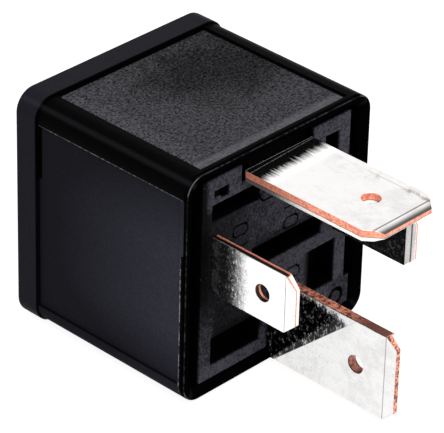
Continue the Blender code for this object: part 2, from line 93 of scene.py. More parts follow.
CAMERA_AZIMUTH = -46.70
CAMERA_ELEVATION = 31.44
CAMERA_ROLL = -1.53
CAMERA_DISTANCE = 0.32778
CAMERA_AIM = Vector((-1.435, 2.767, 1.424)) * MM   # from the middle of the relay's box
CAMERA_LENS = 266.8
CAMERA_SENSOR = 36.0


# ---- small tools ----
def place(x, y, z):
    """A point from millimetres, y counted back from the rim."""
    return Vector((x, y + RIM_Y, z)) * MM


def add_object(name, mesh):
    ob = bpy.data.objects.new(name, mesh)
    bpy.context.scene.collection.objects.link(ob)
    return ob


def from_bmesh(name, bm):
    bmesh.ops.recalc_face_normals(bm, faces=bm.faces)
    mesh = bpy.data.meshes.new(name)
    bm.to_mesh(mesh)
    bm.free()
    return add_object(name, mesh)


def box(name, x0, x1, y0, y1, z0, z1):
    bm = bmesh.new()
    bmesh.ops.create_cube(bm, size=1.0)
    size = Vector((x1 - x0, y1 - y0, z1 - z0)) * MM
    bmesh.ops.scale(bm, vec=size, verts=bm.verts)
    bmesh.ops.translate(bm, vec=place((x0 + x1) / 2, (y0 + y1) / 2, (z0 + z1) / 2), verts=bm.verts)
    return from_bmesh(name, bm)


TURNS = {"x": Matrix.Rotation(math.pi / 2, 4, "Y"), "y": Matrix.Rotation(-math.pi / 2, 4, "X"), "z": Matrix()}


def cylinder(name, axis, middle, length, r, segments=64):
    bm = bmesh.new()
    size = {"segments": segments, "radius1": r * MM, "radius2": r * MM, "depth": length * MM}
    bmesh.ops.create_cone(bm, cap_ends=True, **size)
    bmesh.ops.transform(bm, matrix=Matrix.Translation(place(*middle)) @ TURNS[axis], verts=bm.verts)
    return from_bmesh(name, bm)


def slab(name, outline, axis, lo, hi):
    """An outline given thickness: (y, z) points along x, (x, z) along y, (x, y) along z."""
    def spot(u, v, w):
        return {"x": (w, u, v), "y": (u, w, v), "z": (u, v, w)}[axis]
    bm = bmesh.new()
    near = [bm.verts.new(place(*spot(u, v, lo))) for u, v in outline]
    far = [bm.verts.new(place(*spot(u, v, hi))) for u, v in outline]
    bm.faces.new(near)
    bm.faces.new(far)
    for n in range(len(outline)):
        m = (n + 1) % len(outline)
        bm.faces.new((near[n], near[m], far[m], far[n]))
    return from_bmesh(name, bm)


def settle(ob):
    """Apply an object's modifiers."""
    bpy.context.view_layer.update()
    evaluated = ob.evaluated_get(bpy.context.evaluated_depsgraph_get())
    mesh = bpy.data.meshes.new_from_object(evaluated)
    mesh.name = ob.name
    ob.modifiers.clear()
    ob.data = mesh
    return ob


def combine(ob, others, operation):
    for other in others:
        mod = ob.modifiers.new("boolean", "BOOLEAN")
        mod.operation = operation
        mod.solver = "EXACT"
        mod.object = other
    settle(ob)
    for other in others:
        bpy.data.objects.remove(other, do_unlink=True)
    return ob


def soften(ob, width, segments=3, angle=15, crease=None):
    """Round every edge sharper than an angle, and shade the rest by its larger faces."""
    bm = bmesh.new()
    bm.from_mesh(ob.data)
    bmesh.ops.remove_doubles(bm, verts=bm.verts, dist=1e-7)
    bmesh.ops.dissolve_limit(bm, angle_limit=math.radians(0.5), verts=bm.verts, edges=bm.edges)
    bm.to_mesh(ob.data)
    bm.free()
    bevel = ob.modifiers.new("bevel", "BEVEL")
    bevel.width = width * MM
    bevel.segments = segments
    bevel.limit_method = "ANGLE"
    bevel.angle_limit = math.radians(angle)
    return shade(settle(ob), crease=crease)


def shade(ob, angle=40, crease=None):
    """Smooth shading, with sharp edges above an angle, and above a lower one between two broad faces."""
    ob.data.shade_smooth()
    ob.data.set_sharp_from_angle(angle=math.radians(angle))
    if crease is not None:
        bm = bmesh.new()
        bm.from_mesh(ob.data)
        for edge in bm.edges:
            if len(edge.link_faces) == 2 and min(f.calc_area() for f in edge.link_faces) > 0.8 * MM * MM:
                if edge.calc_face_angle(0.0) > math.radians(crease):
                    edge.smooth = False
        bm.to_mesh(ob.data)
        bm.free()
    weigh = ob.modifiers.new("weigh", "WEIGHTED_NORMAL")
    weigh.keep_sharp = True
    return settle(ob)


# ---- material tools ----
class Look:
    """A node material being built: its Principled shader, and short calls for the nodes that drive it."""

    def __init__(self, name, color, metallic=0.0, roughness=0.5):
        self.mat = bpy.data.materials.new(name)
        self.mat.use_nodes = True
        self.tree = self.mat.node_tree
        self.shader = self.tree.nodes["Principled BSDF"]
        self.shader.inputs["Base Color"].default_value = (*color, 1.0)
        self.shader.inputs["Metallic"].default_value = metallic
        self.shader.inputs["Roughness"].default_value = roughness
        self.mat.diffuse_color = (*color, 1.0)
        self.coords = self.tree.nodes.new("ShaderNodeTexCoord")

    def link(self, source, target):
        self.tree.links.new(source, target)

    def scaled(self, stretch=(1.0, 1.0, 1.0)):
        """Object coordinates in millimetres, stretched."""
        node = self.tree.nodes.new("ShaderNodeMapping")
        node.inputs["Scale"].default_value = tuple(s / MM for s in stretch)
        self.link(self.coords.outputs["Object"], node.inputs["Vector"])
        return node.outputs["Vector"]

    def noise(self, scale, detail=3.0, stretch=(1.0, 1.0, 1.0), roughness=0.55, distortion=0.0):
        node = self.tree.nodes.new("ShaderNodeTexNoise")
        node.inputs["Scale"].default_value = scale
        node.inputs["Detail"].default_value = detail
        node.inputs["Roughness"].default_value = roughness
        node.inputs["Distortion"].default_value = distortion
        self.link(self.scaled(stretch), node.inputs["Vector"])
        return node.outputs["Fac"]

    def part(self, axis):
        """One of the object coordinates, in millimetres."""
        node = self.tree.nodes.new("ShaderNodeSeparateXYZ")
        self.link(self.scaled(), node.inputs["Vector"])
        return node.outputs[axis.upper()]

    def ramp(self, value, lo, hi, out_lo=0.0, out_hi=1.0, smooth=True):
        node = self.tree.nodes.new("ShaderNodeMapRange")
        node.interpolation_type = "SMOOTHSTEP" if smooth else "LINEAR"
        for name, number in (("From Min", lo), ("From Max", hi), ("To Min", out_lo), ("To Max", out_hi)):
            node.inputs[name].default_value = number
        self.link(value, node.inputs["Value"])
        return node.outputs["Result"]

    def math(self, operation, a, b=None):
        node = self.tree.nodes.new("ShaderNodeMath")
        node.operation = operation
        for socket, value in zip(node.inputs, (a, b)):
            if value is None:
                continue
            if isinstance(value, (int, float)):
                socket.default_value = value
            else:
                self.link(value, socket)
        return node.outputs["Value"]

    def times(self, a, b):
        return self.math("MULTIPLY", a, b)

    def plus(self, a, b):
        return self.math("ADD", a, b)

    def minus(self, a, b):
        return self.math("SUBTRACT", a, b)

    def most(self, a, b):
        return self.math("MAXIMUM", a, b)

    def least(self, a, b):
        return self.math("MINIMUM", a, b)

    def squared(self, value):
        return self.math("POWER", self.math("ABSOLUTE", value), 2.0)

    def back(self):
        """How far a point lies behind the rim plane, in millimetres."""
        return self.minus(self.part("y"), RIM_Y)

    def wobble(self, *settings, **more):
        """Noise about zero."""
        return self.minus(self.noise(*settings, **more), 0.5)

    def between(self, value, lo, hi, soft):
        """One from lo to hi and nothing outside, with soft borders."""
        rise = self.ramp(value, lo - soft, lo + soft)
        return self.times(rise, self.ramp(value, hi - soft, hi + soft, 1.0, 0.0))

    def mix(self, factor, a, b):
        """Mix of two colours, each a tuple or a socket."""
        node = self.tree.nodes.new("ShaderNodeMix")
        node.data_type = "RGBA"
        node.clamp_factor = True
        self.link(factor, node.inputs["Factor"])
        for socket, value in ((node.inputs[6], a), (node.inputs[7], b)):
            if isinstance(value, tuple):
                socket.default_value = (*value, 1.0)
            else:
                self.link(value, socket)
        return node.outputs[2]

    def bump(self, height, distance, strength=1.0, after=None):
        node = self.tree.nodes.new("ShaderNodeBump")
        node.inputs["Strength"].default_value = strength
        node.inputs["Distance"].default_value = distance * MM
        self.link(height, node.inputs["Height"])
        if after is not None:
            self.link(after, node.inputs["Normal"])
        return node.outputs["Normal"]

    def set(self, name, source):
        self.link(source, self.shader.inputs[name])


# ---- plastics ----
PLASTIC_BLACK = (0.0008, 0.0008, 0.001)
PANEL_GREY = (0.029, 0.0295, 0.040)
ROOF_GREY = (0.115, 0.111, 0.124)
# pale grey of the painted highlights along the cover's edges
HIGHLIGHT_GREY = (0.40, 0.40, 0.44)
BASE_GREY = (0.050, 0.049, 0.062)
DARK_PATCH = (5.0, 14.5)                     # x and y where the upper panel is darkest
FRONT_LINE_BELOW = 17.4                         # the painted highlight down each side's front runs under this height


def roof_area(look, y, across, height):
    """One on the sunk panel that faces up, and nothing outside it."""
    level = BODY_HZ - PANEL_DEEP
    area = look.ramp(height, level - 0.3, level - 0.15)
    area = look.times(area, look.ramp(across, TOP_PANEL_HX - 0.25, TOP_PANEL_HX - 0.15, 1.0, 0.0))
    return look.times(area, look.between(y, PANEL_Y0 + 0.2, BODY_LEN - 0.2, 0.05))


def roof_bloom_and_light(look, x, y, grain, broken):
    """Grained bloom, partly painted light on the top: darkest round one patch, with a paler strip of painted
    sheen just behind the rim.
    """
    patches = look.wobble(0.2, 4.0, roughness=0.6, distortion=0.5)
    off_x = look.times(look.minus(x, DARK_PATCH[0]), 0.105)
    off_y = look.times(look.minus(y, DARK_PATCH[1]), 0.13)
    away = look.plus(look.squared(off_x), look.squared(off_y))
    bloom = look.ramp(look.plus(away, look.times(patches, 2.0)), 0.0, 1.3, 0.09, 0.27)
    bloom = look.plus(bloom, look.ramp(x, -9.5, -7.0, 0.07, 0.0))
    strip = look.ramp(look.plus(y, look.times(patches, 0.6)), 1.9, 3.1, 1.0, 0.0)
    strip = look.times(strip, look.ramp(grain, 0.0, 2.0, 0.72, 1.2, False))
    strip = look.times(strip, look.ramp(broken, 0.0, 1.0, 0.82, 1.0))
    bloom = look.most(look.times(bloom, grain), look.times(strip, 0.64))
    return look.plus(bloom, look.times(look.minus(grain, 1.0), 0.09))


def wall_area(look, y, z, across, height):
    """One on the sunk side panels. They stop short of the rim where the painted highlight runs down the
    front.
    """
    level = BODY_HX - PANEL_DEEP
    area = look.ramp(across, level - 0.3, level - 0.15)
    area = look.times(area, look.between(height, 0.8 - BODY_HZ, SIDE_PANEL_HZ - 0.03, 0.04))
    seam = look.between(height, -SIDE_PANEL_HZ - 0.1, -SIDE_PANEL_HZ + 0.08, 0.05)
    area = look.times(area, look.minus(1.0, look.times(seam, 0.85)))
    short = look.ramp(z, FRONT_LINE_BELOW - 0.1, FRONT_LINE_BELOW + 0.3, 0.48, 0.1)
    return look.times(area, look.between(look.minus(y, short), 0.35, BODY_LEN - 0.5, 0.05))


def wall_sheen(look, y, height, fine):
    """Painted sheen on the side panels where light falls, fading towards the closed end and their upper and
    lower edges.
    """
    lit = look.ramp(y, 1.0, 19.0, 1.0, 0.24, False)
    lit = look.times(lit, look.ramp(height, 3.0, 11.5, 1.0, 0.5))
    lit = look.times(lit, look.ramp(height, -11.0, -4.0, 0.45, 1.0))
    return look.times(look.most(look.times(lit, 0.88), 0.25), fine)


def edge_highlights(look, y, z, across, height, broken):
    """Painted highlights: the rim's outer edge, brighter at its corners, the sides' fronts low down, the side
    panels' ridges; a faint tint on the corner bars.
    """
    from_x = look.most(look.minus(across, BODY_HX - CORNER_R), 0.0)
    from_z = look.most(look.minus(look.math("ABSOLUTE", height), BODY_HZ - CORNER_R), 0.0)
    reach = look.math("SQRT", look.plus(look.squared(from_x), look.squared(from_z)))
    rim = look.times(look.ramp(reach, CORNER_R - 0.3, CORNER_R - 0.2), look.between(y, 0.05, 0.13, 0.025))
    round_corner = look.least(look.ramp(from_x, 0.2, 0.8), look.ramp(from_z, 0.2, 0.8))
    highlight = look.plus(look.ramp(broken, 0.0, 1.0, 0.01, 0.07), look.times(round_corner, 0.16))
    highlight = look.times(highlight, rim)
    front_line = look.ramp(look.noise(2.2, 3.0, roughness=0.7), 0.44, 0.56, 0.12, 1.0)
    front_line = look.times(front_line, look.between(y, 0.74, 0.84, 0.03))
    front_line = look.times(front_line, look.ramp(z, FRONT_LINE_BELOW - 0.6, FRONT_LINE_BELOW, 1.0, 0.0))
    front_line = look.times(front_line, look.ramp(across, BODY_HX - 0.15, BODY_HX - 0.08))
    highlight = look.most(highlight, look.times(front_line, 0.5))
    bar = look.between(look.minus(from_z, from_x), -0.25, 0.45, 0.3)
    bar = look.times(bar, look.ramp(look.least(from_x, from_z), 0.5, 0.9))
    highlight = look.most(highlight, look.times(bar, 0.012))
    ridge = look.between(height, SIDE_PANEL_HZ - 0.03, SIDE_PANEL_HZ + 0.07, 0.03)
    ridge = look.times(ridge, look.ramp(across, BODY_HX - 0.5, BODY_HX - 0.3))
    ridge = look.times(ridge, look.between(y, 0.6, BODY_LEN - 0.3, 0.1))
    return look.most(highlight, look.times(ridge, look.plus(look.times(broken, 0.3), 0.08)))


def cover_look():
    """Black glass-filled moulding: smooth black bars and mouth, paler grained panels with painted light on
    them, painted edge highlights.
    """
    look = Look("cover_moulding", PLASTIC_BLACK, 0.0, 0.35)
    look.shader.inputs["Specular IOR Level"].default_value = 0.01   # for viewers that drop the linked one
    x, y, z = look.part("x"), look.back(), look.part("z")
    across, height = look.math("ABSOLUTE", x), look.minus(z, MID_Z)
    grain = look.ramp(look.noise(3.7, 5.0, roughness=0.85), 0.3, 0.7, -0.4, 2.4, False)
    fine = look.ramp(look.noise(5.0, 2.0), 0.34, 0.66, 0.88, 1.12)
    broken = look.ramp(look.noise(1.6, 4.0, roughness=0.7), 0.42, 0.64)
    roof = roof_area(look, y, across, height)
    wall = wall_area(look, y, z, across, height)
    band = look.times(look.ramp(y, BODY_LEN + 0.06, BODY_LEN + 0.2), look.times(fine, 0.29))
    # painted sheen on the side panels, and a paler tone on the band at the closed end
    pale = look.most(look.times(wall, wall_sheen(look, y, height, fine)), band)
    color = look.mix(pale, PLASTIC_BLACK, PANEL_GREY)
    # the top panel's bloom, painted paler by the light from above
    color = look.mix(look.times(roof_bloom_and_light(look, x, y, grain, broken), roof), color, ROOF_GREY)
    # painted highlights along the cover's edges
    color = look.mix(edge_highlights(look, y, z, across, height, broken), color, HIGHLIGHT_GREY)
    look.set("Base Color", color)
    look.set("Roughness", look.ramp(look.most(roof, wall), 0.0, 1.0, 0.32, 0.62))
    look.set("Specular IOR Level", look.ramp(y, 0.4, 0.7, 0.0, 0.006))
    look.set("Normal", look.bump(grain, 0.012, 0.6))
    return look.mat


def base_look():
    """Grey-black moulding of the base: matt and grained in front, with painted light across it and painted
    shade black down in its pockets and marks.
    """
    look = Look("base_moulding", PLASTIC_BLACK, 0.0, 0.55)
    look.shader.inputs["Specular IOR Level"].default_value = 0.015
    x, z = look.part("x"), look.part("z")
    depth = look.minus(look.part("y"), RIM_Y + BASE_FRONT)
    # painted shade: the face turns black within a third of a millimetre of depth
    lit = look.ramp(depth, 0.0, 0.34, 1.0, 0.0)
    for x0, x1, low, clear in ((-3.2, 7.0, 13.6, 16.2), (-8.8, -1.6, 5.3, 8.6)):   # painted shade above the sloped slots
        dim = look.times(look.between(x, x0, x1, 0.5), look.ramp(z, low, clear, 1.0, 0.0))
        dim = look.times(dim, look.ramp(z, low - 1.0, low - 0.9))
        lit = look.times(lit, look.minus(1.0, dim))
    # painted shade over the ramped pocket
    dim = look.times(look.ramp(x, 2.9, 6.3, 0.0, 0.97), look.ramp(x, 8.9, 9.0, 1.0, 0.0))
    dim = look.times(dim, look.between(z, RAMP_Z[0], RAMP_Z[1] - 0.05, 0.05))
    lit = look.times(lit, look.minus(1.0, dim))

    # painted light across the face: darker to the left and at the lower right, paler along the bottom, upper
    # left and lower left
    side = look.times(look.ramp(x, -7.5, 4.5, 0.13, 0.95), look.ramp(x, -10.1, -8.8, 0.2, 1.0))
    side = look.most(side, look.ramp(z, 2.8, 4.6, 0.95, 0.0))
    side = look.times(side, look.most(look.ramp(x, 7.6, 8.6, 1.0, 0.5), look.ramp(z, 4.0, 6.0)))
    upper_left = look.times(look.ramp(z, 20.2, 22.0, 0.0, 0.75), look.ramp(x, -10.2, -9.2))
    lower_left = look.times(look.ramp(z, 6.0, 12.0, 0.45, 0.0), look.ramp(x, -9.0, -8.0, 1.0, 0.0))
    side = look.most(look.most(side, upper_left), lower_left)

    flow = look.ramp(look.noise(0.35, 4.0, (0.7, 1.0, 1.5), 0.6, 0.5), 0.3, 0.7, 0.75, 1.15)
    grain = look.ramp(look.noise(3.2, 5.0, roughness=0.85), 0.3, 0.7, -0.8, 2.8, False)
    grain = look.most(grain, 0.35)
    speck = look.times(look.ramp(look.noise(2.4, 2.0), 0.68, 0.74), 0.5)
    shine = look.times(lit, look.times(flow, look.times(grain, side)))
    shine = look.plus(shine, look.times(lit, speck))
    look.set("Base Color", look.mix(shine, PLASTIC_BLACK, BASE_GREY))
    look.set("Normal", look.bump(grain, 0.012, 0.6))
    return look.mat


# ---- tin and copper ----
TIN_STAIN = (0.62, 0.53, 0.45)
TIN_PIT = (0.34, 0.31, 0.28)
TIN_SMUDGE = (0.30, 0.24, 0.20)
TIN_CREASE = (0.22, 0.17, 0.15)
SHADE = (0.02, 0.02, 0.02)
COPPER_BRIGHT = (1.0, 0.40, 0.27)
COPPER_DEEP = (0.70, 0.20, 0.12)
COPPER_BROWN = (0.08, 0.02, 0.015)


def score_line(look, y, metal, clouds, score):
    """Scored line beside one edge of the upper blade, with brown smudges along it."""
    x = look.part("x")
    line = look.times(look.between(x, score - 0.04, score + 0.04, 0.03), 0.7)
    smudge = look.times(look.ramp(clouds, 0.50, 0.62), look.between(x, score - 0.3, score + 0.3, 0.3))
    line = look.most(line, look.times(smudge, 0.75))
    return look.mix(look.times(line, look.ramp(y, -9.5, -6.5, 1.0, 0.25)), metal, TIN_SMUDGE)


def reflected_wedge(look, y, metal, shown):
    """Painted reflection of the black base on the lower blade: a dark wedge with a crisp slanting edge,
    painted pale flecks, a painted pale strip under the cut edge.
    """
    z = look.part("z")
    pits = look.ramp(look.noise(3.0, 4.0, roughness=0.8), 0.60, 0.68, 0.0, 0.5)
    pits = look.times(pits, look.ramp(y, -11.0, -2.0, 0.25, 1.0))
    metal = look.mix(pits, metal, (0.10, 0.09, 0.09))
    inside = look.ramp(look.plus(y, look.times(z, 1.12)), -0.05, 0.1)
    inside = look.times(inside, shown)
    bend = look.squared(look.times(look.plus(y, 3.0), 0.14))
    ragged = look.wobble(1.6, 4.0, (1.0, 2.2, 0.8), 0.75)
    edge = look.plus(look.minus(z, 9.9), look.plus(bend, look.times(ragged, 3.0)))
    flecks = look.ramp(look.noise(2.0, 5.0, (1.0, 1.4, 0.8), 0.8), 0.51, 0.66)
    lit = look.most(look.ramp(edge, -0.2, 0.7, 0.0, 0.8), look.times(flecks, 0.5))
    lit = look.times(lit, inside)
    metal = look.mix(look.times(inside, 0.99), metal, (0.008, 0.008, 0.008))
    look.set("Metallic", look.ramp(lit, 0.0, 1.0, 1.0, 0.1))
    return look.mix(lit, metal, (0.95, 0.95, 0.97))


def shaded_far_face(look, y, metal, shown, tip, coin):
    """Painted shade on the left face of the blade under the upper one, with painted pale flecks and a painted
    dark line down its pale bevel.
    """
    specks = look.ramp(look.noise(2.6, 4.0, roughness=0.8), 0.5, 0.62)
    specked = look.mix(specks, (0.006, 0.006, 0.006), (0.06, 0.06, 0.063))
    dim = look.times(shown, look.ramp(y, tip + coin - 0.05, tip + coin))
    metal = look.mix(dim, metal, specked)
    shade_line = look.times(look.between(y, tip + 0.45, tip + 0.62, 0.06), shown)
    look.set("Metallic", look.ramp(shown, 0.0, 1.0, 1.0, 0.1))
    return look.mix(look.times(shade_line, 0.9), metal, SHADE)


def root_reflection(look, y, metal, outside, streaks, root):
    """Painted reflection of the black rim: a black band across the upper blade's root, frayed into hairs, a
    thin pale lip line, on a matt pale zone.
    """
    matt = look.times(look.ramp(y, -3.6, -2.2), outside)
    metal = look.mix(matt, metal, (0.80, 0.79, 0.775))
    slant = look.minus(y, look.times(look.part("x"), 0.05))
    hair = look.wobble(1.0, 4.0, (5.0, 0.4, 5.0), 0.7)
    band = look.plus(slant, look.times(hair, 2.4))
    band = look.times(look.ramp(band, -root - 0.7, -root + 0.6, 0.0, 1.0, False), outside)
    metal = look.mix(band, metal, (0.003, 0.003, 0.003))
    lip = look.times(look.between(slant, -0.14, -0.04, 0.04), look.ramp(streaks, 0.4, 0.6, 0.2, 0.6))
    look.set("Metallic", look.minus(1.0, matt))
    return look.mix(lip, metal, (0.20, 0.20, 0.21))


def shaded_root(look, y, metal, shown, mottle):
    """Dull root of a coil blade, painted dark with shade and broken by painted pale flecks where it turns
    bright.
    """
    ragged = look.wobble(2.0, 4.0, (1.0, 1.8, 0.7), 0.75)
    band = look.ramp(look.plus(y, look.times(ragged, 5.0)), -4.2, -1.9)
    metal = look.mix(look.times(look.times(band, 0.92), shown), metal, (0.03, 0.03, 0.033))
    flecks = look.ramp(look.noise(2.2, 5.0, (1.0, 1.5, 0.8), 0.8), 0.50, 0.66)
    flecks = look.times(flecks, look.ramp(y, -2.6, -1.6, 0.85, 0.3))
    foot = look.times(look.ramp(y, -1.0, -0.3), look.ramp(mottle, 0.4, 0.6, 0.03, 0.16))
    flecks = look.times(look.most(flecks, foot), look.ramp(y, -4.6, -3.6))
    flecks = look.times(flecks, shown)
    look.set("Metallic", look.ramp(flecks, 0.0, 0.8, 1.0, 0.0))
    return look.mix(flecks, metal, (0.85, 0.86, 0.90))


def tin_look(name, middle, tip, coin, kind):
    """Bright tin plate: streaked, mottled and stained, creased where it is coined, painted dark towards its
    root with shade and reflection.

    The kind is "upper", "lower", "near" or "far": the wide blades, then the coil blades."""
    look = Look(name, (0.94, 0.93, 0.92), 1.0, 0.08)
    upper, narrow = kind == "upper", kind in ("near", "far")
    scuffed = 1.0 if narrow else 0.0
    y = look.back()
    streaks = look.noise(1.0, 4.0, (5.0, 0.5, 5.0), 0.6)
    hairs = look.ramp(look.noise(1.0, 3.0, (7.0, 0.6, 7.0), 0.7, 0.6), 0.61, 0.70)
    clouds = look.noise(0.45, 5.0, roughness=0.65, distortion=0.4)
    mottle = look.noise(1.7, 4.0, roughness=0.65)
    stains = look.ramp(look.noise(0.5, 5.0, roughness=0.65, distortion=1.0), 0.56, 0.76)
    specks = look.ramp(look.noise(2.6, 2.0, roughness=0.6), 0.69, 0.75)
    scuffs = look.ramp(look.noise(2.6, 4.0, (1.0, 0.6, 1.0), 0.75), 0.52, 0.72)
    mottled = look.ramp(look.plus(look.times(mottle, 0.6), clouds), 0.65, 1.0)
    if upper:
        by_tip = look.ramp(y, -13.5, -8.0, 1.0, 0.2)
        by_edge = look.ramp(look.part("x"), 0.5, 3.5, 0.2, 1.0)
        mottled = look.times(mottled, look.most(by_tip, by_edge))
    # painted shade: the lower blade's tin is darker
    light_share = 0.84 if kind == "lower" else 1.0
    warm = Vector((0.0, 0.01, 0.02)) if upper else Vector()
    light, dark = (Vector((0.98, 0.975, 0.97)) - warm) * light_share, (Vector((0.85, 0.845, 0.84)) - warm) * light_share
    metal = look.mix(mottled, tuple(light), tuple(dark))
    metal = look.mix(look.times(stains, 0.4), metal, TIN_STAIN)
    metal = look.mix(look.most(look.times(hairs, 0.22), look.times(specks, 0.45)), metal, TIN_PIT)
    if upper:
        metal = score_line(look, y, metal, clouds, middle + LOAD_HALF - 0.9)
    wide = 0.09 if upper else 0.05
    crease = look.between(y, tip + coin - wide, tip + coin + wide - 0.01, 0.03)
    metal = look.mix(look.times(crease, 0.85), metal, TIN_CREASE)
    outside = look.ramp(y, 0.3, 0.42, 1.0, 0.0)
    left_face = look.ramp(look.part("x"), middle - 0.05, middle + 0.05, 1.0, 0.0)
    shown = look.times(outside, left_face)
    # painted shade and reflections towards each kind of blade's root
    if upper:
        # painted shade over the upper blade's coined bevel, darkest at the tip
        metal = look.mix(look.ramp(y, tip + 0.15, tip + coin - 0.15, 0.9, 0.0), metal, SHADE)
        metal = root_reflection(look, y, metal, outside, streaks, 1.9)
    elif kind == "lower":
        metal = reflected_wedge(look, y, metal, shown)
    elif kind == "far":
        metal = shaded_far_face(look, y, metal, shown, tip, coin)
    else:
        metal = shaded_root(look, y, metal, shown, mottle)
    look.set("Base Color", metal)
    dull = look.times(look.ramp(y, -5.5, -3.0, 0.0, 0.26 * scuffed), outside)
    look.set("Roughness", look.plus(look.ramp(clouds, 0.3, 0.7, 0.02, 0.05), dull))
    fine = look.bump(streaks, 0.006, 0.8)
    rough = look.bump(look.times(scuffs, look.between(y, -4.0, 0.4, 1.2)), 0.02 * scuffed, 1.0, fine)
    look.set("Normal", look.bump(mottle, 0.006, 0.8, rough))
    return look.mat


def cut_look(name, axis, edge, line=0.03, metallic=0.3, dull=0.0, tip=None, split=0.0, shadow=0.0):
    """Sheared edge of a blade: bare copper on one side of a line along the edge, smeared tin on the other.

    Over an upright blade's end, from its tip, the tin starts at a split from the middle instead."""
    look = Look(name, (0.80, 0.38, 0.27), metallic, 0.4)
    y = look.back()
    spot = look.part(axis)
    grit = look.noise(3.2, 4.0, roughness=0.75)
    wander = look.times(look.wobble(0.6, 3.0), 0.15)
    across = look.times(look.minus(look.plus(spot, wander), edge), -1.0)
    tinned = look.ramp(across, -0.03, 0.03)
    bare = look.mix(look.ramp(grit, 0.42, 0.62), COPPER_BRIGHT, COPPER_DEEP)
    gutter = look.between(across, -line, line, line * 0.35)
    if dull > 0:
        brown = look.times(look.ramp(y, -13.0, -8.0, dull, 0.0), look.ramp(y, -15.3, -15.1))
        crumbs = look.times(look.ramp(look.noise(2.2, 4.0, roughness=0.85), 0.48, 0.54), 0.95)
        bare = look.mix(look.most(brown, crumbs), bare, COPPER_BROWN)
    if tip is not None:
        end = look.ramp(y, tip + 1.1, tip + 1.25, 1.0, 0.0)
        border = tip_middle(name) + split
        outer = look.times(look.ramp(spot, border - 0.04, border + 0.04), end)
        along = look.minus(1.0, end)
        tinned = look.most(look.times(tinned, along), outer)
        gutter = look.times(gutter, along)
    # painted shade on the tin towards the root, as strong as the shadow asks
    tin = look.mix(look.ramp(y, -8.0, -2.5, 0.0, shadow), (0.93, 0.91, 0.88), (0.03, 0.03, 0.03))
    metal = look.mix(tinned, bare, tin)
    metal = look.mix(gutter, metal, (0.012, 0.006, 0.005))
    # painted shade where the blade runs back into the base's recess
    if shadow > 0:
        metal = look.mix(look.between(y, 0.3, 1.4, 0.06), metal, (0.002, 0.002, 0.002))
    look.set("Base Color", metal)
    look.set("Roughness", look.ramp(grit, 0.3, 0.7, 0.24, 0.45))
    look.set("Normal", look.bump(grit, 0.03, 0.7))
    return look.mat


def tip_middle(name):
    """Middle of an upright blade's thickness, in millimetres."""
    low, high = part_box("terminal_" + {"cut_bottom": "load_bottom"}.get(name, name[4:]))
    return (low.x + high.x) / 2 / MM


def plain_look(name, light, dark, metallic, roughness, scale=2.0, stretch=(1.0, 1.0, 1.0)):
    """Two tones of one stuff, mottled, with its roughness and relief following the same pattern."""
    look = Look(name, light, metallic, roughness)
    pattern = look.noise(scale, 4.0, stretch, 0.6)
    look.set("Base Color", look.mix(look.ramp(pattern, 0.35, 0.65), light, dark))
    look.set("Roughness", look.ramp(pattern, 0.3, 0.7, roughness - 0.08, roughness + 0.08))
    look.set("Normal", look.bump(pattern, 0.01, 0.6))
    return look.mat


# ---- cover ----
def smooth(t):
    t = min(1.0, max(0.0, t))
    return t * t * (3 - 2 * t)


CORNER_STEPS = 12
STEP_POINTS = 7
FLAT_POINTS = 8


def side_spots(half, panel):
    """Where the points of one side of the section lie, from its middle out to one corner."""
    inner = [panel * n / FLAT_POINTS for n in range(FLAT_POINTS)]
    inner = [s * (panel - PANEL_STEP) / panel for s in inner]
    step = [panel - PANEL_STEP + PANEL_STEP * n / (STEP_POINTS - 1) for n in range(STEP_POINTS)]
    return inner + step + [half]


def section(y, hx, hz, r, sunk=0.0):
    """Points round the cover's section at y: a rounded square, its panels sunk by a share of their depth."""
    points = []
    sides = (((1, 0), (0, 1)), ((0, 1), (-1, 0)), ((-1, 0), (0, -1)), ((0, -1), (1, 0)))
    along = 1 - ((y - BODY_LEN / 2) / (BODY_LEN / 2)) ** 2
    for normal, tangent in sides:
        level, reach, panel = (hx, hz, SIDE_PANEL_HZ) if normal[0] else (hz, hx, TOP_PANEL_HX)
        out = side_spots(reach - r, panel)
        for s in [-v for v in reversed(out[1:])] + out:
            deep = sunk * PANEL_DEEP * smooth((panel - abs(s)) / PANEL_STEP)
            if sunk > 0 and abs(s) < panel:
                deep += sunk * SINK * max(0.0, along) * (1 - (s / panel) ** 2)
            spot = [normal[i] * (level - deep) + tangent[i] * s for i in (0, 1)]
            points.append(spot)
        for n in range(1, CORNER_STEPS):
            a = math.pi / 2 * n / CORNER_STEPS
            n_part, t_part = level - r + r * math.cos(a), reach - r + r * math.sin(a)
            points.append([normal[i] * n_part + tangent[i] * t_part for i in (0, 1)])
    return [place(u, y, MID_Z + v) for u, v in points]


def fillet(y0, y1, inset0, inset1, steps=5, hollow=False):
    """(y, inset) pairs round a quarter turn from one level and inset to another."""
    pairs = []
    for n in range(steps + 1):
        a = math.pi / 2 * n / steps
        up, across = (math.sin(a), 1 - math.cos(a)) if hollow else (1 - math.cos(a), math.sin(a))
        pairs.append((y0 + (y1 - y0) * up, inset0 + (inset1 - inset0) * across))
    return pairs


